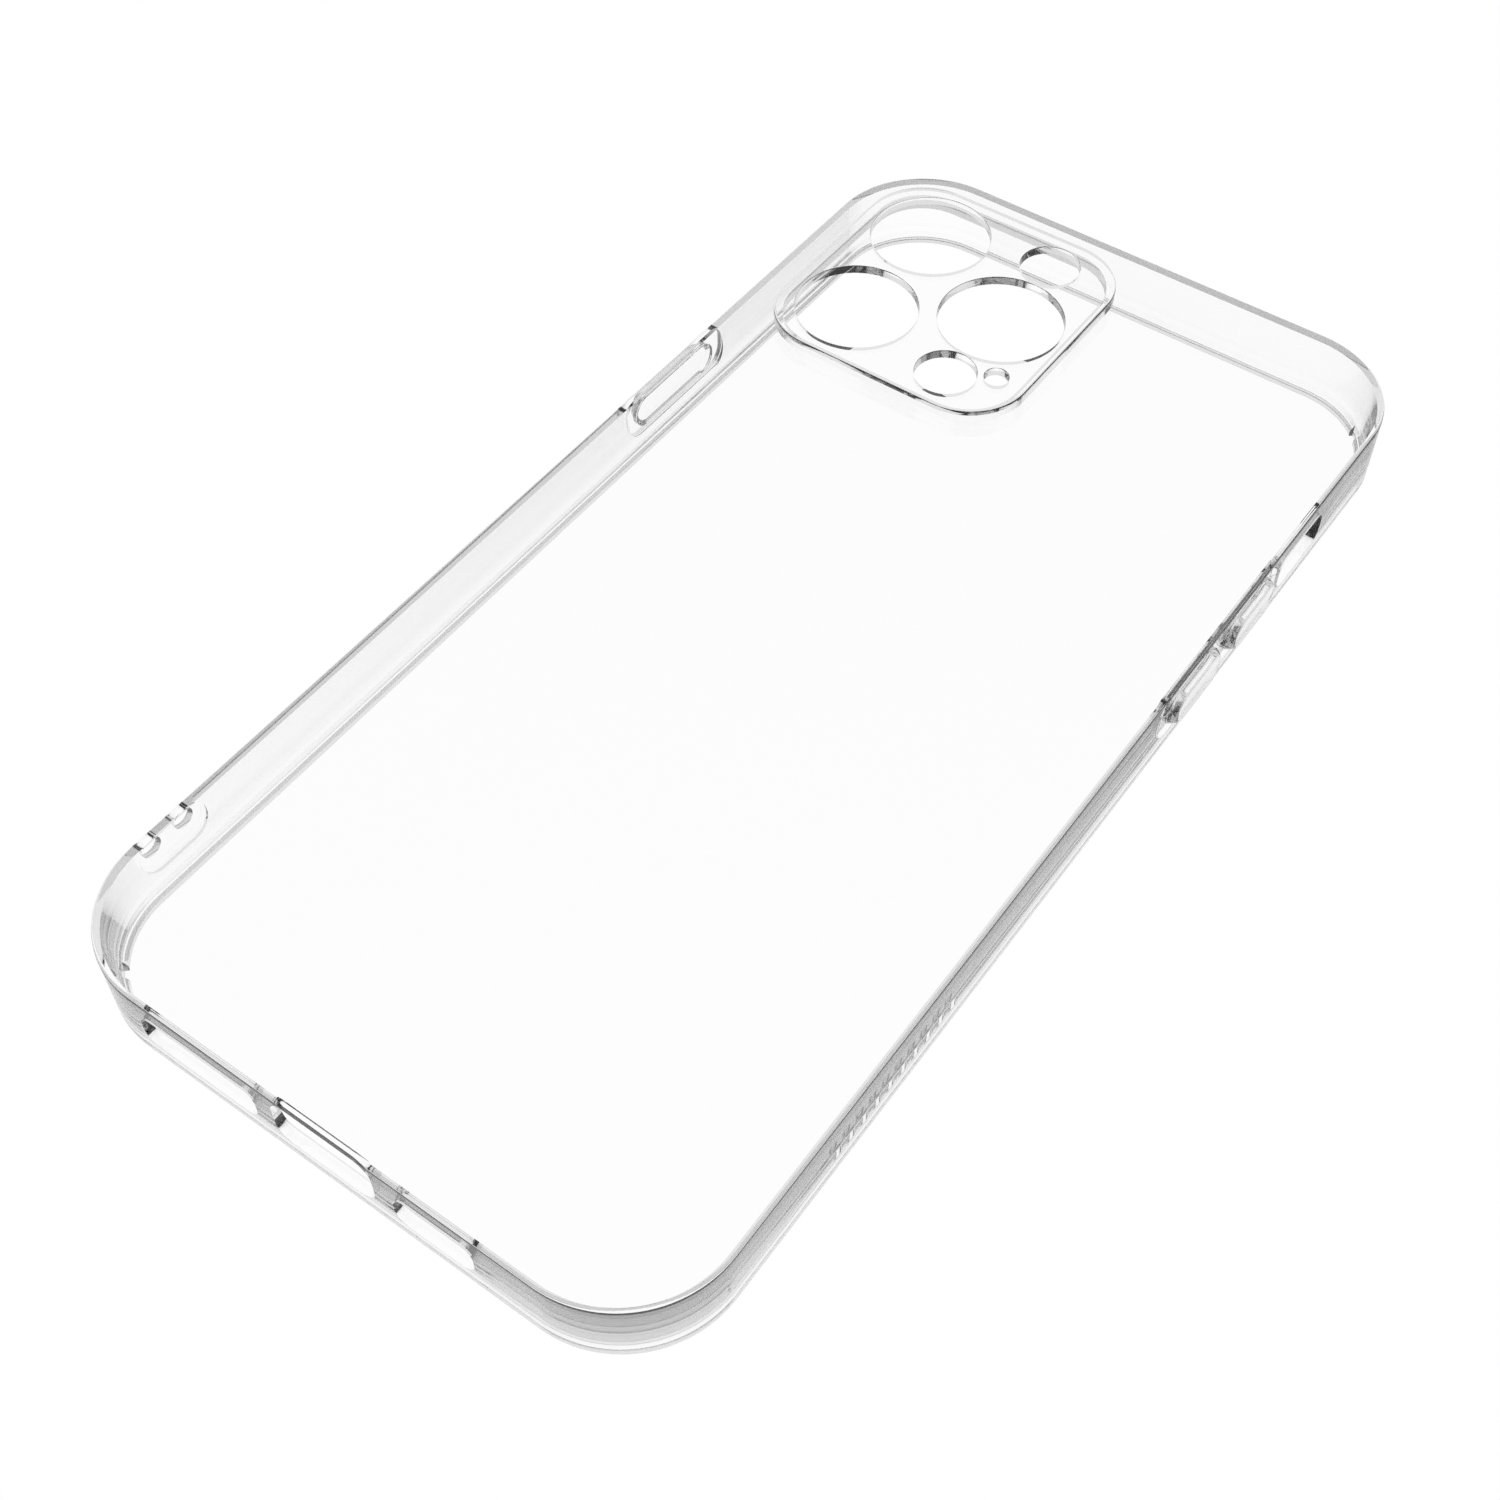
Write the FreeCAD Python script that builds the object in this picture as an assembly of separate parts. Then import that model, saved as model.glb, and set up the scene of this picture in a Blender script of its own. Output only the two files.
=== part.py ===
"""Clear protective case for a large flat-sided phone, lying back up on its front rim.

Frame: millimetres, +Z out of the phone's back, +Y toward the phone's top end, +X to the right
when the back is seen with the top end up.  Z = 0 is the plane of the front rim.
Each named solid is written to its own STEP file in parts/.
"""
import FreeCAD
import Part
import math
import os

V = FreeCAD.Vector

# --- outer envelope -------------------------------------------------------------------------
WIDTH = 80.5             # across the two long walls
LENGTH = 163.2           # top end to bottom end
CORNER_R = 13.6          # plan radius of the four corners
HEIGHT = 10.0            # front rim to back face
PLATE_T = 1.3            # thickness of the back plate
SEAM_Z = HEIGHT - PLATE_T
BACK_EDGE_R = 0.4        # rounding of the back's outer edge
RIM_EDGE_R = 0.25        # rounding of the front rim's edges

# --- wall section: inset of the inner face from the outer face --------------------------------
WALL_AT_PLATE = 0.8      # wall thickness under the back plate
WALL_AT_LIP = 1.4        # wall thickness where the lip starts
LIP_INSET = 1.95         # the lip's inner edge
LIP_START_Z = 1.9        # top of the lip's sloping face
LIP_EDGE_Z = 0.9         # top of the lip's straight edge
RELIEF_ARC = 9.0         # degrees of corner over which the lip breaks off, from the diagonal
RELIEF_CORNERS = [(-1, -1, 1), (1, 1, -1)]   # corner signs and the way the break runs round

# --- camera guard ----------------------------------------------------------------------------
GUARD_X = (-36.0, 1.2)
GUARD_Y = (39.0, 77.2)
GUARD_R = 8.6
GUARD_TOP = 11.5
GUARD_PLATE_T = 1.2
GUARD_SKIRT_T = 1.2
GUARD_EDGE_R = 0.5
LENS_HOLES = [(-25.7, 67.3, 16.4), (-25.6, 49.2, 16.4), (-8.8, 58.1, 16.8)]
SMALL_HOLES = [(-9.1, 71.1, 8.1), (-9.1, 45.1, 8.2), (-3.3, 48.1, 3.3)]

# --- end cut-outs, bottom end: (x start, x end, z start, z end, corner radius) -----------------
SILL_Z = 2.4
SPEAKER_TOP = 7.2
PORT_TOP = 9.4
END_CUTS = [
    (-26.0, -9.8, SILL_Z, SPEAKER_TOP, 1.8),
    (-7.2, 6.2, SILL_Z, PORT_TOP, 2.2),
    (8.7, 19.0, SILL_Z, SPEAKER_TOP, 1.8),
]
PLATE_NICK = 0.9         # how far the tallest openings reach in under the back plate's edge

# --- side openings: (y start, y end, z start, z end, corner radius) ----------------------------
MUTE_CUT = (43.9, 55.3, SILL_Z, SPEAKER_TOP, 1.8)
VOLUME_WINDOW = (13.9, 42.6, 2.6, 9.2, 2.4)
POWER_WINDOW = (17.4, 37.6, 3.0, 9.2, 2.4)
WEB_T = 0.35             # flexible web round the buttons
WEB_INSET = 0.55         # how far the web sits back from the wall's outer face
GAP = 0.15               # clear gap between a cap and its web

# --- button caps: (y start, y end, z start, z end); common section -------------------------------
VOLUME_UP = (30.0, 41.6, 3.1, 8.1)
VOLUME_DOWN = (16.0, 28.0, 3.1, 8.1)
POWER_CAP = (19.2, 35.4, 3.5, 8.1)
CAP_PROUD = 0.9          # cap face above the wall's outer face
CAP_SLOPE = 0.3          # how much the proud part tapers in at the long sides
CAP_END_SLOPE = 0.9      # and at the ends
CAP_DEPTH = 0.9          # the cap's back, behind the wall's outer face, level with the web's back

# --- lanyard anchor ------------------------------------------------------------------------------
STRAP_POCKET = (-68.3, -58.5, 3.8, 9.2, 2.6)
STRAP_POCKET_FLOOR = 0.85   # wall left outside the pocket
STRAP_HOLES = [-66.3, -61.5]
STRAP_HOLE_D = 2.7
STRAP_HOLE_Z = 7.85

# --- grip ribs inside the right wall -------------------------------------------------------------
RIB_COUNT = 10
RIB_FIRST_Y = -50.5
RIB_PITCH = 2.37
RIB_R = 0.75
RIB_PROUD = 0.4
RIB_Z = (2.0, 3.4)


def rounded_wire(x0, x1, y0, y1, r, z):
    """Closed rounded rectangle in the plane Z = z."""
    k = r * (1.0 - math.sqrt(0.5))
    corners = [
        (V(x1 - r, y0, z), V(x1 - k, y0 + k, z), V(x1, y0 + r, z)),
        (V(x1, y1 - r, z), V(x1 - k, y1 - k, z), V(x1 - r, y1, z)),
        (V(x0 + r, y1, z), V(x0 + k, y1 - k, z), V(x0, y1 - r, z)),
        (V(x0, y0 + r, z), V(x0 + k, y0 + k, z), V(x0 + r, y0, z)),
    ]
    edges = []
    for i, (start, mid, end) in enumerate(corners):
        edges.append(Part.Arc(start, mid, end).toShape())
        after = corners[(i + 1) % 4][0]
        edges.append(Part.LineSegment(end, after).toShape())
    return Part.Wire(edges)


def outline(inset, z):
    """The case's plan outline, moved in by inset."""
    hw = WIDTH / 2 - inset
    hl = LENGTH / 2 - inset
    return rounded_wire(-hw, hw, -hl, hl, CORNER_R - inset, z)


def prism(wire, height):
    return Part.Face(wire).extrude(V(0, 0, height))


def slab(inset, z0, z1):
    return prism(outline(inset, z0), z1 - z0)


def tapered(inset0, z0, inset1, z1):
    """Solid between two outlines at different insets."""
    return Part.makeLoft([outline(inset0, z0), outline(inset1, z1)], True, True)


def edges_at(shape, z, inset_lo, inset_hi):
    """Edges that lie flat at height z and whose inset is between the two limits."""
    found = []
    for edge in shape.Edges:
        box = edge.BoundBox
        if abs(box.ZMin - z) > 1e-4 or abs(box.ZMax - z) > 1e-4:
            continue
        mid = edge.valueAt((edge.FirstParameter + edge.LastParameter) / 2)
        inset = inset_of(mid)
        if inset_lo <= inset <= inset_hi:
            found.append(edge)
    return found


def inset_of(point):
    """How far a point is inside the outer outline."""
    qx = abs(point.x) - (WIDTH / 2 - CORNER_R)
    qy = abs(point.y) - (LENGTH / 2 - CORNER_R)
    outside = math.hypot(max(qx, 0.0), max(qy, 0.0))
    return CORNER_R - outside - min(max(qx, qy), 0.0)


def window(u0, u1, z0, z1, r, axis, depth0, depth1):
    """Rounded window through a wall.  axis is 'x' (long wall) or 'y' (end wall)."""
    flat = rounded_wire(u0, u1, z0, z1, r, 0.0)
    body = prism(flat, depth1 - depth0)
    if axis == "y":
        # plan (u, v) -> (x, z), extrusion -> -y
        body.rotate(V(0, 0, 0), V(1, 0, 0), 90)
        body.translate(V(0, -depth0, 0))
        return body
    # plan (u, v) -> (y, z), extrusion -> x
    body.rotate(V(0, 0, 0), V(1, 1, 1), 120)
    body.translate(V(depth0, 0, 0))
    return body


def cavity():
    """The phone's space: mouth, sloping lip face, drafted walls."""
    mouth = slab(LIP_INSET, -1.0, LIP_EDGE_Z)
    slope = tapered(LIP_INSET, LIP_EDGE_Z, WALL_AT_LIP, LIP_START_Z)
    walls = tapered(WALL_AT_LIP, LIP_START_Z, WALL_AT_PLATE, SEAM_Z)
    return mouth.fuse([slope, walls])


def relief_notches():
    """Breaks in the front lip that start on the diagonal of two opposite corners."""
    cuts = []
    reach = CORNER_R - WALL_AT_LIP
    for sx, sy, turn in RELIEF_CORNERS:
        cx = sx * (WIDTH / 2 - CORNER_R)
        cy = sy * (LENGTH / 2 - CORNER_R)
        wedge = Part.makeCylinder(reach, LIP_START_Z + 1.0, V(0, 0, -1.0), V(0, 0, 1), RELIEF_ARC)
        start = math.degrees(math.atan2(sy, sx))
        wedge.rotate(V(0, 0, 0), V(0, 0, 1), start if turn > 0 else start - RELIEF_ARC)
        wedge.translate(V(cx, cy, 0))
        cuts.append(wedge)
    return cuts


def end_cutters(depth_in=3.0):
    """Speaker slots and port through the bottom end wall."""
    cuts = []
    for x0, x1, z0, z1, r in END_CUTS:
        cuts.append(window(x0, x1, z0, z1, r, "y", LENGTH / 2 - depth_in, LENGTH / 2 + 1.0))
    return cuts


def side_window(spec, side, depth_in=3.0, depth_out=1.0, grow=0.0):
    """Cutter for a window in the long wall on the given side (+1 or -1)."""
    y0, y1, z0, z1, r = spec
    edge = WIDTH / 2
    a = edge - depth_in
    b = edge + depth_out
    lo = a if side > 0 else -b
    hi = b if side > 0 else -a
    return window(y0 - grow, y1 + grow, z0 - grow, z1 + grow, r + grow, "x", lo, hi)


def strap_cutters(depth_in=3.0):
    """Pocket on the inside of the wall and the two holes for the cord."""
    y0, y1, z0, z1, r = STRAP_POCKET
    inner = -(WIDTH / 2 - depth_in)
    pocket = window(y0, y1, z0, z1, r, "x", -(WIDTH / 2 - STRAP_POCKET_FLOOR), inner)
    holes = []
    for y in STRAP_HOLES:
        start = V(-WIDTH / 2 - 1.0, y, STRAP_HOLE_Z)
        holes.append(Part.makeCylinder(STRAP_HOLE_D / 2, 1.0 + depth_in, start, V(1, 0, 0)))
    return pocket, holes


def strap_bar_block():
    """The stretch of wall between the two cord holes, which carries the cord's pull."""
    y0 = STRAP_HOLES[0]
    y1 = STRAP_HOLES[1]
    half = STRAP_HOLE_D / 2
    depth = STRAP_POCKET_FLOOR
    return Part.makeBox(depth, y1 - y0, 2 * half, V(-WIDTH / 2, y0, STRAP_HOLE_Z - half))


def wall_openings(depth_in=3.0):
    cuts = end_cutters(depth_in)
    cuts.append(side_window(MUTE_CUT, 1, depth_in))
    cuts.append(side_window(VOLUME_WINDOW, 1, depth_in))
    cuts.append(side_window(POWER_WINDOW, -1, depth_in))
    return cuts


def make_frame():
    """Flexible bumper: four walls, front lip and all wall openings."""
    body = slab(0.0, 0.0, SEAM_Z).cut(cavity())
    rim = edges_at(body, 0.0, -0.01, 3.0)
    body = body.makeFillet(RIM_EDGE_R, rim)
    body = body.fuse(grip_ribs())
    body = body.cut(relief_notches() + wall_openings())
    pocket, holes = strap_cutters()
    bar = strap_bar_block()
    return body.cut([pocket, bar] + holes)


def make_strap_bar():
    bar = strap_bar_block()
    outer = slab(0.0, 0.0, SEAM_Z)
    pocket, holes = strap_cutters()
    return bar.common(outer).cut([pocket] + holes)


def guard_wire(inset, z):
    x0, x1 = GUARD_X
    y0, y1 = GUARD_Y
    return rounded_wire(x0 + inset, x1 - inset, y0 + inset, y1 - inset, GUARD_R - inset, z)


def make_back_plate():
    """Hard clear back plate with the opening for the camera guard."""
    plate = slab(0.0, SEAM_Z, HEIGHT)
    top_edges = edges_at(plate, HEIGHT, -0.01, 0.01)
    plate = plate.makeFillet(BACK_EDGE_R, top_edges)
    plate = plate.cut(prism(guard_wire(0.0, SEAM_Z - 1.0), PLATE_T + 2.0))
    pocket, holes = strap_cutters(PLATE_NICK)
    return plate.cut(wall_openings(PLATE_NICK) + [pocket] + holes)


def make_guard():
    """Raised camera surround: a shallow tray, open toward the phone, with six holes."""
    body = prism(guard_wire(0.0, SEAM_Z), GUARD_TOP - SEAM_Z)
    top = [e for e in body.Edges if e.BoundBox.ZMin > GUARD_TOP - 1e-4]
    body = body.makeFillet(GUARD_EDGE_R, top)
    ceiling = GUARD_TOP - GUARD_PLATE_T
    hollow = prism(guard_wire(GUARD_SKIRT_T, SEAM_Z - 1.0), ceiling - SEAM_Z + 1.0)
    cuts = [hollow]
    for x, y, d in LENS_HOLES + SMALL_HOLES:
        cuts.append(Part.makeCylinder(d / 2, GUARD_TOP + 2.0, V(x, y, 0)))
    return body.cut(cuts)


def cap_outline(cap, grow=0.0):
    y0, y1, z0, z1 = cap
    r = (z1 - z0) / 2 - 0.01 + grow
    return (y0 - grow, y1 + grow, z0 - grow, z1 + grow, r)


def make_web(spec, side, caps):
    """Thin flexible web that fills a window round its caps."""
    face = WIDTH / 2 - WEB_INSET
    y0, y1, z0, z1, r = spec
    lo = face - WEB_T if side > 0 else -face
    web = window(y0, y1, z0, z1, r, "x", lo, lo + WEB_T)
    for cap in caps:
        web = web.cut(window(*cap_outline(cap, GAP), "x", lo - 1.0, lo + WEB_T + 1.0))
    return web


def make_cap(cap, side):
    """Button cap: a shank through the web and a proud face tapered all round."""
    ya, yb, za, zb, r = cap_outline(cap)
    s, e = CAP_SLOPE, CAP_END_SLOPE
    base = rounded_wire(ya, yb, za, zb, r, 0.0)
    face = rounded_wire(ya + e, yb - e, za + s, zb - s, r - s, CAP_PROUD)
    proud = Part.makeLoft([base, face], True, True)
    shank = prism(rounded_wire(ya, yb, za, zb, r, -CAP_DEPTH), CAP_DEPTH)
    body = shank.fuse(proud).removeSplitter()
    # plan (u, v) -> (y, z), height -> x
    body.rotate(V(0, 0, 0), V(1, 1, 1), 120)
    body.translate(V(WIDTH / 2, 0, 0))
    if side < 0:
        body = body.mirror(V(0, 0, 0), V(1, 0, 0))
    return body


def grip_ribs():
    """Row of half-round ribs inside the right wall, just above the lip."""
    ribs = []
    for i in range(RIB_COUNT):
        y = RIB_FIRST_Y + i * RIB_PITCH
        x = WIDTH / 2 - WALL_AT_LIP + RIB_R - RIB_PROUD
        ribs.append(Part.makeCylinder(RIB_R, RIB_Z[1] - RIB_Z[0], V(x, y, RIB_Z[0])))
    return ribs


def solid_of(shape):
    """The single solid of a shape; stops if there is not exactly one."""
    shape = shape.removeSplitter()
    if len(shape.Solids) != 1:
        raise ValueError("expected one solid, found %d" % len(shape.Solids))
    return shape.Solids[0]


def build():
    parts = {
        "bumper_frame": make_frame(),
        "back_plate": make_back_plate(),
        "camera_guard": make_guard(),
        "lanyard_bar": make_strap_bar(),
        "volume_web": make_web(VOLUME_WINDOW, 1, [VOLUME_UP, VOLUME_DOWN]),
        "power_web": make_web(POWER_WINDOW, -1, [POWER_CAP]),
        "volume_up_button": make_cap(VOLUME_UP, 1),
        "volume_down_button": make_cap(VOLUME_DOWN, 1),
        "power_button": make_cap(POWER_CAP, -1),
    }
    return parts


os.makedirs("parts", exist_ok=True)
for name, shape in build().items():
    solid = solid_of(shape)
    box = solid.optimalBoundingBox()
    solid.exportStep("parts/%s.step" % name)
    print("%-20s %9.2f mm3  x %.2f..%.2f  y %.2f..%.2f  z %.2f..%.2f" % (
        name, solid.Volume, box.XMin, box.XMax, box.YMin, box.YMax, box.ZMin, box.ZMax))
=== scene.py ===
"""Looks for the clear phone case: clear shell, buttons, floor, light and camera over the frame."""
import math

import bmesh
import bpy
from mathutils import Matrix, Vector


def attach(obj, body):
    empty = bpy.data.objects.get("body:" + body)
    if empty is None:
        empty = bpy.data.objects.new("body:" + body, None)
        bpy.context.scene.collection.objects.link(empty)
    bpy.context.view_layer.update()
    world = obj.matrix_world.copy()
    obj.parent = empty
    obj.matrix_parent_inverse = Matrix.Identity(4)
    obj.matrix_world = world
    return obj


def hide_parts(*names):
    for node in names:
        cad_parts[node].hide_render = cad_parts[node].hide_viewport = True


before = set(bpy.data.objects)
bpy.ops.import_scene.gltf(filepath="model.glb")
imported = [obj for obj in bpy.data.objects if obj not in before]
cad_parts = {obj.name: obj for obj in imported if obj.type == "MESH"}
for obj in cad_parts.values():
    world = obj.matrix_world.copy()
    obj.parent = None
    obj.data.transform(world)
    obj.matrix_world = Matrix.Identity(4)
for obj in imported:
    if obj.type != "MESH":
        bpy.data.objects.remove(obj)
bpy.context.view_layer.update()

scene = bpy.context.scene

# --- sizes in millimetres -------------------------------------------------------------------------
# They are the CAD's, but for a finer guard rounding (GUARD_R) and button gap (GAP).
WIDTH, LENGTH, HEIGHT, SEAM = 80.5, 163.2, 10.0, 8.7
CORNER = 13.6
WALL_AT_PLATE, WALL_AT_LIP = 0.8, 1.4
LIP, LIP_START, LIP_EDGE = 1.95, 1.9, 0.9
RIM_R, BACK_R = 0.25, 0.4
GUARD = (-36.0, 1.2, 39.0, 77.2, 8.6)
GUARD_TOP, GUARD_T, GUARD_SKIRT, GUARD_R = 11.5, 1.2, 1.2, 0.3
HOLES = [(-25.7, 67.3, 16.4), (-25.6, 49.2, 16.4), (-8.8, 58.1, 16.8),
         (-9.1, 71.1, 8.1), (-9.1, 45.1, 8.2), (-3.3, 48.1, 3.3)]
END_CUTS = [(-26.0, -9.8, 2.4, 7.2, 1.8), (-7.2, 6.2, 2.4, 9.4, 2.2), (8.7, 19.0, 2.4, 7.2, 1.8)]
MUTE = (43.9, 55.3, 2.4, 7.2, 1.8)
VOLUME_WINDOW = (13.9, 42.6, 2.6, 9.2, 2.4)
POWER_WINDOW = (17.4, 37.6, 3.0, 9.2, 2.4)
WEB_INSET, WEB_T, GAP = 0.55, 0.35, 0.08
VOLUME_CAPS = {"volume_up_button": (30.0, 41.6, 3.1, 8.1),
               "volume_down_button": (16.0, 28.0, 3.1, 8.1)}
POWER_CAPS = {"power_button": (19.2, 35.4, 3.5, 8.1)}
CAP_PROUD, CAP_SLOPE, CAP_END, CAP_DEPTH = 0.9, 0.3, 0.9, 0.9
STRAP = (-68.3, -58.5, 3.8, 9.2, 2.6)
STRAP_FLOOR, STRAP_Y, STRAP_D, STRAP_Z = 0.85, (-66.3, -61.5), 2.7, 7.85
RIBS, RIB_Y, RIB_PITCH, RIB_R, RIB_PROUD = 10, -50.5, 2.37, 0.75, 0.4
RELIEF_ARC = 9.0         # degrees of each relieved corner where the front lip is broken
HOLE_FLARE = 0.15        # softened edge where a hole leaves the guard's top
WALL_CLEARANCE = 0.12    # how far a window cutter runs past the inner wall face
OVERRUN = 1.0            # how far a cutter starts outside the part
ARC = 28                 # steps round each corner of the outline
GUARD_ARC = 20           # and round each corner of the guard
WINDOW_ARC = 14          # and round each end of a window or button
SMOOTH_BELOW = 28        # degrees between faces that are shaded as one curve


# --- meshes ---------------------------------------------------------------------------------------
def ring(x0, x1, y0, y1, r, steps):
    """Points of a rounded rectangle, counter-clockwise."""
    pts = []
    for cx, cy, a0 in ((x1 - r, y0 + r, -90), (x1 - r, y1 - r, 0), (x0 + r, y1 - r, 90),
                       (x0 + r, y0 + r, 180)):
        for i in range(steps + 1):
            a = math.radians(a0 + 90.0 * i / steps)
            pts.append((cx + r * math.cos(a), cy + r * math.sin(a)))
    return pts


def outline(inset):
    w, h = WIDTH / 2 - inset, LENGTH / 2 - inset
    return ring(-w, w, -h, h, CORNER - inset, ARC)


def loft(name, loops):
    """Closed mesh through a list of equal point loops; the first and last are capped."""
    n = len(loops[0])
    verts = [Vector(p) * 0.001 for loop in loops for p in loop]
    faces = [tuple(range(n))[::-1]]
    for k in range(len(loops) - 1):
        a, b = k * n, (k + 1) * n
        faces += [(a + i, a + (i + 1) % n, b + (i + 1) % n, b + i) for i in range(n)]
    faces.append(tuple(range((len(loops) - 1) * n, len(loops) * n)))
    mesh = bpy.data.meshes.new(name)
    mesh.from_pydata(verts, [], faces)
    bm = bmesh.new()
    bm.from_mesh(mesh)
    bmesh.ops.recalc_face_normals(bm, faces=bm.faces[:])
    bm.to_mesh(mesh)
    bm.free()
    obj = bpy.data.objects.new(name, mesh)
    scene.collection.objects.link(obj)
    return obj


def arc(c_in, c_z, r, a0, a1, steps=6):
    """Points (inset, z) of an arc about (c_in, c_z)."""
    pts = []
    for i in range(steps + 1):
        a = math.radians(a0 + (a1 - a0) * i / steps)
        pts.append((c_in + r * math.cos(a), c_z + r * math.sin(a)))
    return pts


def level(points, z):
    return [(x, y, z) for x, y in points]


def wall_face(z):
    """Inset of the drafted inner wall face at height z."""
    t = (z - LIP_START) / (SEAM - LIP_START)
    return WALL_AT_LIP + (WALL_AT_PLATE - WALL_AT_LIP) * t


def shell_body():
    profile = arc(BACK_R, HEIGHT - BACK_R, BACK_R, 90, 180)
    profile += [(0.0, SEAM)]
    profile += arc(RIM_R, RIM_R, RIM_R, 180, 270)
    profile += arc(LIP - RIM_R, RIM_R, RIM_R, 270, 360)
    profile += [(LIP, LIP_EDGE), (WALL_AT_LIP, LIP_START), (WALL_AT_PLATE, SEAM)]
    return loft("shell", [level(outline(i), z) for i, z in profile])


def guard_loop(inset, z):
    x0, x1, y0, y1, r = GUARD
    return level(ring(x0 + inset, x1 - inset, y0 + inset, y1 - inset, r - inset, GUARD_ARC), z)


def guard_block():
    profile = [(0.0, SEAM + 0.6)] + arc(GUARD_R, GUARD_TOP - GUARD_R, GUARD_R, 180, 90)
    return loft("guard_block", [guard_loop(i, z) for i, z in profile])


def guard_hollow():
    top = GUARD_TOP - GUARD_T
    return loft("guard_hollow", [guard_loop(GUARD_SKIRT, 7.0), guard_loop(GUARD_SKIRT, top)])


def round_hole(x, y, d):
    """Cutter with a slight flare where it leaves the guard's top."""
    flare_z = GUARD_TOP - HOLE_FLARE
    profile = [(d / 2, 6.0), (d / 2, flare_z)]
    for i in range(1, 5):
        a = math.radians(22.5 * i)
        profile.append((d / 2 + HOLE_FLARE * (1 - math.cos(a)), flare_z + HOLE_FLARE * math.sin(a)))
    profile.append((d / 2 + HOLE_FLARE, GUARD_TOP + OVERRUN))
    n = 96 if d > 10 else 64
    circle = [(math.cos(2 * math.pi * i / n), math.sin(2 * math.pi * i / n)) for i in range(n)]
    return loft("hole", [[(x + r * c, y + r * s, z) for c, s in circle] for r, z in profile])


def prism(spec, axis, side, d0, d1, grow=0.0, follow=False):
    """Rounded window cutter through a wall, between two depths from the wall's outer face.

    With follow the inner end runs d1 beyond the drafted wall face."""
    u0, u1, z0, z1, r = spec
    pts = ring(u0 - grow, u1 + grow, z0 - grow, z1 + grow, r + grow, WINDOW_ARC)
    half = WIDTH / 2 if axis == "x" else LENGTH / 2

    def put(u, z, depth):
        v = side * (half - depth)
        return (v, u, z) if axis == "x" else (u, v, z)
    outer = [put(u, z, d0) for u, z in pts]
    inner = [put(u, z, wall_face(z) + d1 if follow else d1) for u, z in pts]
    return loft("window", [outer, inner])


def cylinder(name, base, tip, r, n=48):
    base, tip = Vector(base), Vector(tip)
    turn = (tip - base).to_track_quat("Z", "Y")
    loops = []
    for end in (base, tip):
        loops.append([end + turn @ Vector((r * math.cos(2 * math.pi * i / n),
                                           r * math.sin(2 * math.pi * i / n), 0))
                      for i in range(n)])
    return loft(name, loops)


def relief(sx, sy, turn):
    """Wedge that breaks the front lip from the diagonal of a corner."""
    cx, cy = sx * (WIDTH / 2 - CORNER), sy * (LENGTH / 2 - CORNER)
    start = math.degrees(math.atan2(sy, sx))
    a0, a1 = sorted((start, start + RELIEF_ARC * turn))
    reach = CORNER - WALL_AT_LIP - 0.01
    flat = [(cx + 4 * math.cos(math.radians((a0 + a1) / 2)),
             cy + 4 * math.sin(math.radians((a0 + a1) / 2)))]
    for i in range(7):
        a = math.radians(a0 + (a1 - a0) * i / 6)
        flat.append((cx + reach * math.cos(a), cy + reach * math.sin(a)))
    return loft("relief", [level(flat, -OVERRUN), level(flat, LIP_START + 0.8)])


def combine(base, tools):
    """Apply exact booleans to base in order; tools is a list of (object, operation)."""
    for tool, operation in tools:
        mod = base.modifiers.new("b", "BOOLEAN")
        mod.solver = "EXACT"
        mod.operation = operation
        mod.object = tool
    graph = bpy.context.evaluated_depsgraph_get()
    mesh = bpy.data.meshes.new_from_object(base.evaluated_get(graph))
    base.modifiers.clear()
    base.data = mesh
    for tool, _ in tools:
        bpy.data.objects.remove(tool)
    return mesh


def build_shell():
    """Back plate, bumper, guard and webs as one watertight clear shape."""
    edge = WIDTH / 2
    add, cut = "UNION", "DIFFERENCE"
    tools = [(guard_block(), add), (guard_hollow(), cut)]
    tools += [(round_hole(*h), cut) for h in HOLES]
    for i in range(RIBS):
        x, y = edge - WALL_AT_LIP + RIB_R - RIB_PROUD, RIB_Y + i * RIB_PITCH
        tools.append((cylinder("rib", (x, y, 1.7), (x, y, 3.4), RIB_R, 32), add))
    for spec, side, caps in ((VOLUME_WINDOW, 1, VOLUME_CAPS), (POWER_WINDOW, -1, POWER_CAPS)):
        tools.append((prism(spec, "x", side, WEB_INSET - 0.2, WEB_INSET + WEB_T, 0.05), add))
        tools.append((prism(spec, "x", side, -OVERRUN, WEB_INSET), cut))
        low = (spec[0], spec[1], spec[2], SEAM - 0.25, spec[4])
        tools.append((prism(low, "x", side, WEB_INSET + WEB_T, 3.0), cut))
        for y0, y1, z0, z1 in caps.values():
            r = (z1 - z0) / 2 + GAP - 0.01
            hole = (y0 - GAP, y1 + GAP, z0 - GAP, z1 + GAP, r)
            tools.append((prism(hole, "x", side, 0.1, 2.6), cut))
    tools.append((prism(MUTE, "x", 1, -OVERRUN, WALL_CLEARANCE, follow=True), cut))
    for spec in END_CUTS:
        tools.append((prism(spec, "y", -1, -OVERRUN, WALL_CLEARANCE, follow=True), cut))
    tools.append((prism(STRAP, "x", -1, STRAP_FLOOR, WALL_CLEARANCE, follow=True), cut))
    for y in STRAP_Y:
        tools.append((cylinder("cord_hole", (-edge - 1, y, STRAP_Z), (-edge + 0.95, y, STRAP_Z),
                               STRAP_D / 2), cut))
    tools += [(relief(-1, -1, 1), cut), (relief(1, 1, -1), cut)]
    shell = shell_body()
    combine(shell, tools)
    return shell


def in_window(c, spec, side):
    return (side * c.x > 0.0384 and spec[0] - 0.1 < c.y * 1000 < spec[1] + 0.1
            and spec[2] - 0.1 < c.z * 1000 < spec[3] + 0.1)


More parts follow.
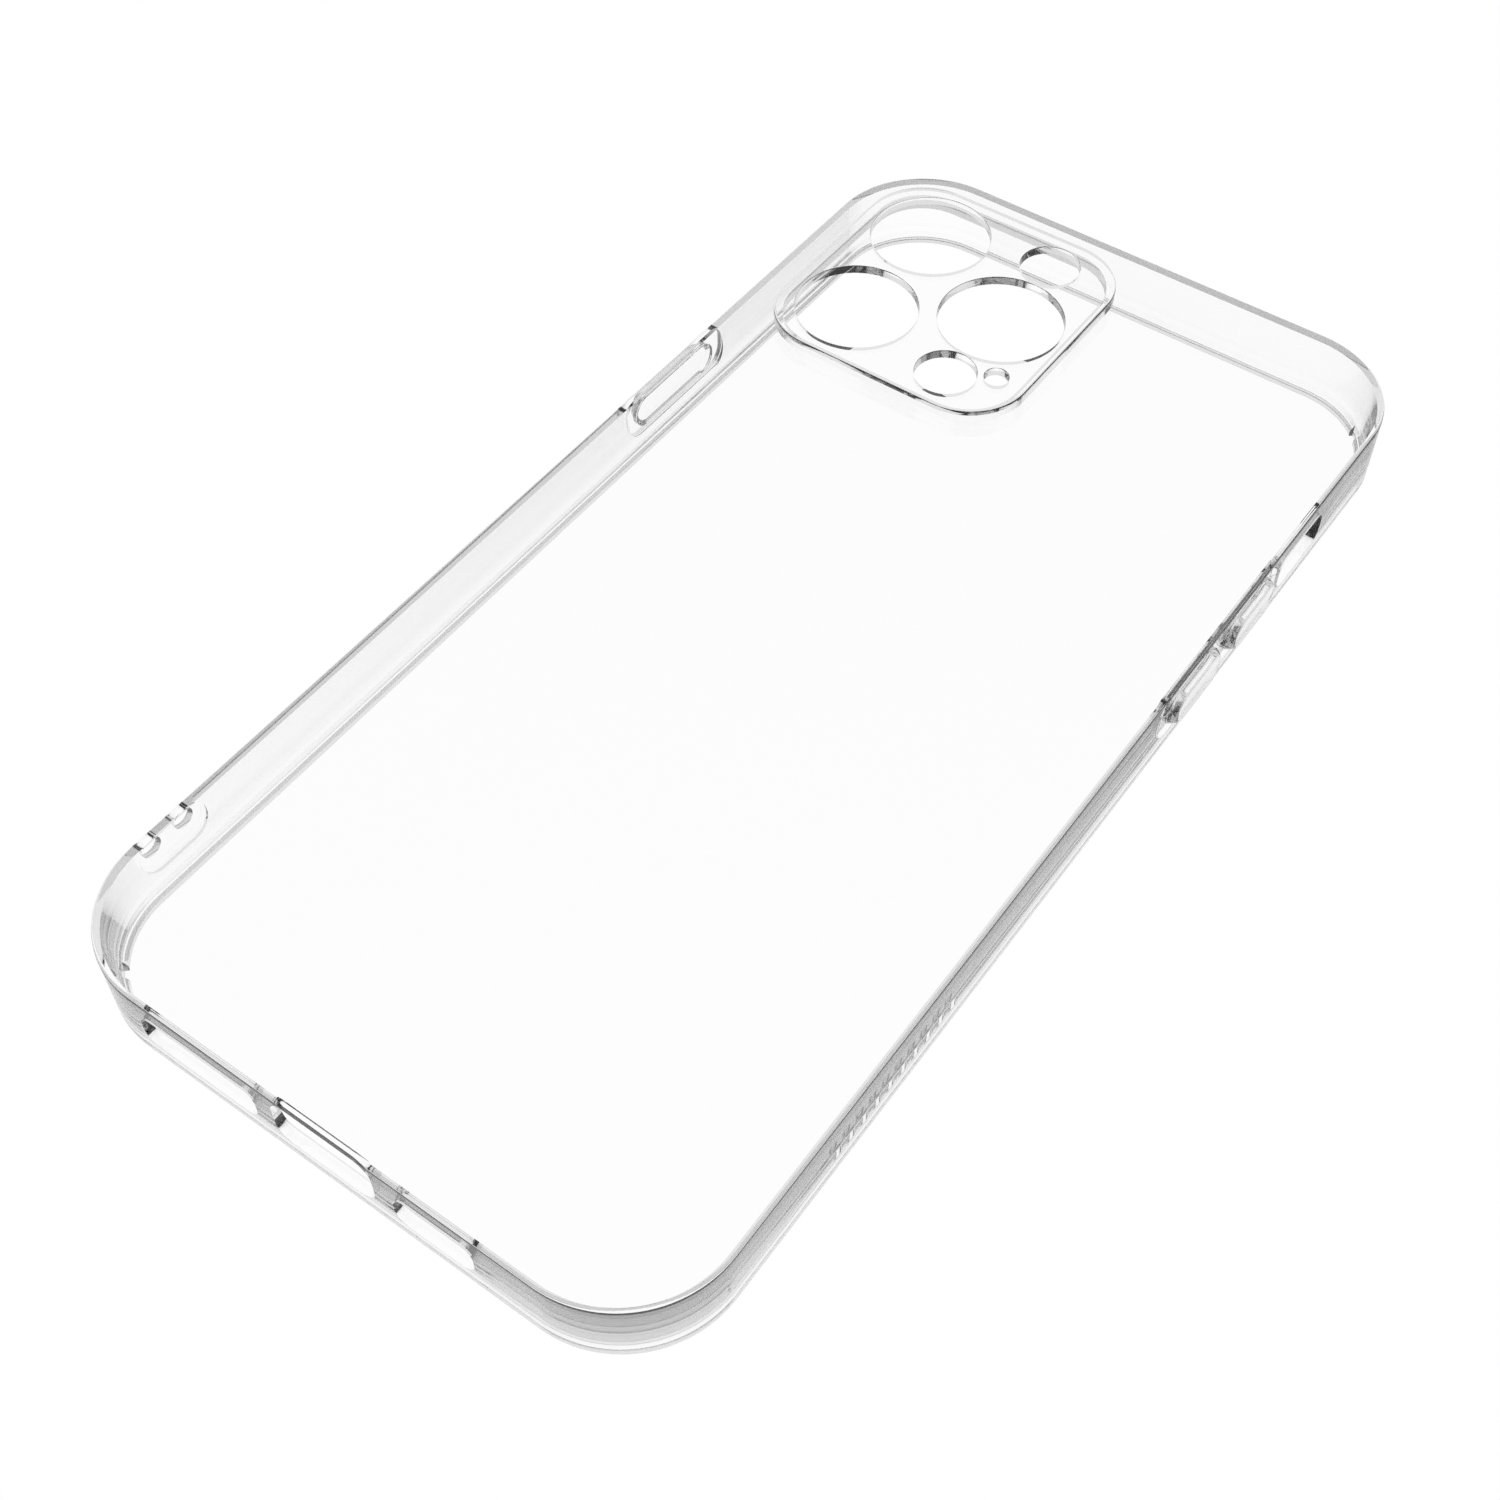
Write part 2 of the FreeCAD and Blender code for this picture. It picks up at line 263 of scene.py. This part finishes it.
def share_of(face):
    """Which CAD node a face of the joined shell belongs to."""
    c = face.calc_center_median()
    top = min(v.co.z for v in face.verts) * 1000
    x0, x1, y0, y1, _ = GUARD
    inside = x0 - 0.05 < c.x * 1000 < x1 + 0.05 and y0 - 0.05 < c.y * 1000 < y1 + 0.05
    if inside and (c.z * 1000 > HEIGHT + 0.01 or (c.z * 1000 > SEAM + 0.05 and top < HEIGHT - 0.2)):
        return "camera_guard"
    if in_window(c, VOLUME_WINDOW, 1):
        return "volume_web"
    if in_window(c, POWER_WINDOW, -1):
        return "power_web"
    if c.z * 1000 > SEAM - 0.01:
        return "back_plate"
    return "bumper_frame"


def settle_normals(obj):
    """Smooth rounded parts, flat flats, crisp edges."""
    mesh = obj.data
    for poly in mesh.polygons:
        poly.use_smooth = True
    mesh.set_sharp_from_angle(angle=math.radians(SMOOTH_BELOW))
    mod = obj.modifiers.new("weighted", "WEIGHTED_NORMAL")
    mod.keep_sharp = True
    mod.weight = 100
    graph = bpy.context.evaluated_depsgraph_get()
    obj.data = bpy.data.meshes.new_from_object(obj.evaluated_get(graph))
    obj.modifiers.clear()


def split_shell(shell):
    """One object per CAD node, open where they are bonded, so no joint line shows inside."""
    found = {}
    bm = bmesh.new()
    bm.from_mesh(shell.data)
    bmesh.ops.remove_doubles(bm, verts=bm.verts[:], dist=2e-7)
    bm.faces.ensure_lookup_table()
    owner = [share_of(f) for f in bm.faces]
    for name in sorted(set(owner)):
        part = bm.copy()
        part.faces.ensure_lookup_table()
        gone = [part.faces[i] for i, o in enumerate(owner) if o != name]
        bmesh.ops.delete(part, geom=gone, context="FACES")
        mesh = bpy.data.meshes.new(name + "_clear")
        part.to_mesh(mesh)
        part.free()
        obj = bpy.data.objects.new(name + "_clear", mesh)
        scene.collection.objects.link(obj)
        settle_normals(obj)
        found[name] = obj
    bm.free()
    bpy.data.objects.remove(shell)
    return found


def button(name, y0, y1, z0, z1, side):
    """Cap with softened edges: shank and proud face tapered all round."""
    edge = WIDTH / 2
    steps = [(0.06, 0.06, -CAP_DEPTH), (0.0, 0.0, 0.06 - CAP_DEPTH), (0.0, 0.0, -0.03),
             (0.02, 0.06, 0.03)]
    for i in range(7):
        a = math.radians(15 * i)
        soft = 0.16 * (1 - math.cos(a)) + 0.06 * math.sin(a) - 0.16
        steps.append((CAP_SLOPE + soft, CAP_END + 2 * soft, CAP_PROUD - 0.2 + 0.2 * math.sin(a)))
    loops = []
    for shrink, along, out in steps:
        r = (z1 - z0) / 2 - 0.01 - shrink
        pts = ring(y0 + along, y1 - along, z0 + shrink, z1 - shrink, r, WINDOW_ARC)
        loops.append([(side * (edge + out), y, z) for y, z in pts])
    obj = loft(name + "_clear", loops)
    settle_normals(obj)
    return obj


# --- materials ------------------------------------------------------------------------------------
def new_material(name):
    mat = bpy.data.materials.new(name)
    mat.use_nodes = True
    mat.node_tree.nodes.clear()
    return mat, mat.node_tree


IOR = 1.5
# Times the Fresnel term, this is the share of light darkened away at each surface by a mix with
# black.  It stands in partly for absorption inside the plastic, because the open pieces can't hold
# a volume, and partly is painted shade: it greys the walls where light bounces inside them, in
# place of darker surroundings seen in those reflections.
BOUNCE_LOSS_AND_SHADE = 0.2
WAVE_HEIGHT = 0.0002     # metres, of the faint unevenness of a moulded face
SAMPLE_PASS = 0.97       # share of each light sample that one surface lets straight through


def clear_plastic(name, rough, wave, wave_scale):
    """Clear polished plastic that loses a little light at each surface: part absorption, part
    painted shade in its internal reflections.
    """
    mat, nt = new_material(name)
    out = nt.nodes.new("ShaderNodeOutputMaterial")
    glass = nt.nodes.new("ShaderNodeBsdfPrincipled")
    glass.inputs["Base Color"].default_value = (1.0, 1.0, 1.0, 1.0)
    glass.inputs["IOR"].default_value = IOR
    glass.inputs["Transmission Weight"].default_value = 1.0
    coord = nt.nodes.new("ShaderNodeTexCoord")
    noise = nt.nodes.new("ShaderNodeTexNoise")
    noise.inputs["Scale"].default_value = wave_scale
    noise.inputs["Detail"].default_value = 3.0
    ramp = nt.nodes.new("ShaderNodeMapRange")
    ramp.inputs["From Min"].default_value = 0.35
    ramp.inputs["From Max"].default_value = 0.75
    ramp.inputs["To Min"].default_value = 0.0
    ramp.inputs["To Max"].default_value = rough
    bump = nt.nodes.new("ShaderNodeBump")
    bump.inputs["Strength"].default_value = wave
    bump.inputs["Distance"].default_value = WAVE_HEIGHT
    edge = nt.nodes.new("ShaderNodeFresnel")
    edge.inputs["IOR"].default_value = IOR
    loss_and_shade = nt.nodes.new("ShaderNodeMath")
    loss_and_shade.operation = "MULTIPLY"
    loss_and_shade.inputs[1].default_value = BOUNCE_LOSS_AND_SHADE
    # painted shade: a Fresnel-weighted mix with black that greys light bouncing inside the walls,
    # partly standing in for absorption
    dim_and_shade = nt.nodes.new("ShaderNodeMixShader")
    lets = nt.nodes.new("ShaderNodeBsdfTransparent")
    lets.inputs["Color"].default_value = (SAMPLE_PASS, SAMPLE_PASS, SAMPLE_PASS, 1.0)
    path = nt.nodes.new("ShaderNodeLightPath")
    mix = nt.nodes.new("ShaderNodeMixShader")
    link = nt.links.new
    link(coord.outputs["Object"], noise.inputs["Vector"])
    link(noise.outputs["Fac"], ramp.inputs["Value"])
    link(ramp.outputs["Result"], glass.inputs["Roughness"])
    link(noise.outputs["Fac"], bump.inputs["Height"])
    link(bump.outputs["Normal"], glass.inputs["Normal"])
    link(path.outputs["Is Shadow Ray"], mix.inputs["Fac"])
    link(edge.outputs["Fac"], loss_and_shade.inputs[0])
    link(loss_and_shade.outputs["Value"], dim_and_shade.inputs["Fac"])
    link(glass.outputs["BSDF"], dim_and_shade.inputs[1])
    link(dim_and_shade.outputs["Shader"], mix.inputs[1])
    link(lets.outputs["BSDF"], mix.inputs[2])
    link(mix.outputs["Shader"], out.inputs["Surface"])
    return mat


def dress(obj, mat):
    obj.data.materials.clear()
    obj.data.materials.append(mat)


hard = clear_plastic("clear_hard", 0.006, 0.01, 60.0)
soft = clear_plastic("clear_soft", 0.006, 0.01, 110.0)
cap = clear_plastic("clear_button", 0.010, 0.02, 160.0)

# --- the case -------------------------------------------------------------------------------------
SLOTS = {"back_plate": hard, "camera_guard": hard, "bumper_frame": soft, "volume_web": soft,
         "power_web": soft}
pieces = split_shell(build_shell())
for node, obj in pieces.items():
    dress(obj, SLOTS[node])
    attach(obj, "case")
    if node == "bumper_frame":
        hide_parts("bumper_frame", "lanyard_bar")
    else:
        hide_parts(node)
BODIES = {"volume_up_button": "volume_up", "volume_down_button": "volume_down",
          "power_button": "power"}
for caps, side in ((VOLUME_CAPS, 1), (POWER_CAPS, -1)):
    for node, cap_box in caps.items():
        obj = button(node, *cap_box, side)
        dress(obj, cap)
        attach(obj, BODIES[node])
        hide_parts(node)

# --- floor ----------------------------------------------------------------------------------------
FLOOR_HALF = 3.0         # metres
FLOOR_DROP = 0.00003     # metres below the front rim, so that the two faces don't coincide


def pale_floor():
    """Plain floor that glows evenly."""
    mesh = bpy.data.meshes.new("floor")
    h = FLOOR_HALF
    mesh.from_pydata([(-h, -h, 0), (h, -h, 0), (h, h, 0), (-h, h, 0)], [], [(0, 1, 2, 3)])
    obj = bpy.data.objects.new("floor", mesh)
    obj.location = (0, 0, -FLOOR_DROP)
    scene.collection.objects.link(obj)
    mat, nt = new_material("floor_pale")
    out = nt.nodes.new("ShaderNodeOutputMaterial")
    glow = nt.nodes.new("ShaderNodeEmission")
    glow.inputs["Strength"].default_value = 1.0
    glow.inputs["Color"].default_value = (1.0, 1.0, 1.0, 1.0)
    nt.links.new(glow.outputs["Emission"], out.inputs["Surface"])
    dress(obj, mat)
    return obj


floor = pale_floor()

# --- light ----------------------------------------------------------------------------------------
SKY_HORIZON, SKY_TOP = 0.85, 1.0


def studio_sky():
    """Soft light from all round, a little brighter overhead."""
    world = bpy.data.worlds.new("studio")
    scene.world = world
    world.use_nodes = True
    nt = world.node_tree
    nt.nodes.clear()
    out = nt.nodes.new("ShaderNodeOutputWorld")
    sky = nt.nodes.new("ShaderNodeBackground")
    coord = nt.nodes.new("ShaderNodeTexCoord")
    split = nt.nodes.new("ShaderNodeSeparateXYZ")
    grad = nt.nodes.new("ShaderNodeValToRGB")
    for stop, height, grey in zip(grad.color_ramp.elements, (0.0, 1.0), (SKY_HORIZON, SKY_TOP)):
        stop.position = height
        stop.color = (grey, grey, grey, 1)
    nt.links.new(coord.outputs["Generated"], split.inputs["Vector"])
    nt.links.new(split.outputs["Z"], grad.inputs["Fac"])
    nt.links.new(grad.outputs["Color"], sky.inputs["Color"])
    nt.links.new(sky.outputs["Background"], out.inputs["Surface"])


studio_sky()

# --- camera ---------------------------------------------------------------------------------------
CAM_AT = Vector((0.09133, -0.13516, 0.19337))
CAM_AZIMUTH = math.radians(36.19)
CAM_DOWN = math.radians(51.78)
CAM_ROLL = math.radians(-0.35)
CAM_LENS, CAM_SENSOR, CAM_NEAR = 50.44, 36.0, 0.005
MAX_BOUNCES = 96         # light is caught in the thin walls for many bounces


def place_camera():
    ahead = Vector((-math.sin(CAM_AZIMUTH) * math.cos(CAM_DOWN),
                    math.cos(CAM_AZIMUTH) * math.cos(CAM_DOWN),
                    -math.sin(CAM_DOWN)))
    right = ahead.cross(Vector((0, 0, 1))).normalized()
    up = right.cross(ahead)
    across = right * math.cos(CAM_ROLL) + up * math.sin(CAM_ROLL)
    top = up * math.cos(CAM_ROLL) - right * math.sin(CAM_ROLL)
    data = bpy.data.cameras.new("camera")
    data.lens = CAM_LENS
    data.sensor_width = CAM_SENSOR
    data.clip_start = CAM_NEAR
    cam = bpy.data.objects.new("camera", data)
    basis = Matrix((across, top, -ahead)).transposed().to_4x4()
    basis.translation = CAM_AT
    cam.matrix_world = basis
    scene.collection.objects.link(cam)
    scene.camera = cam


place_camera()
scene.view_settings.view_transform = "Standard"
for limit in ("max_bounces", "glossy_bounces", "transmission_bounces", "transparent_max_bounces"):
    setattr(scene.cycles, limit, MAX_BOUNCES)
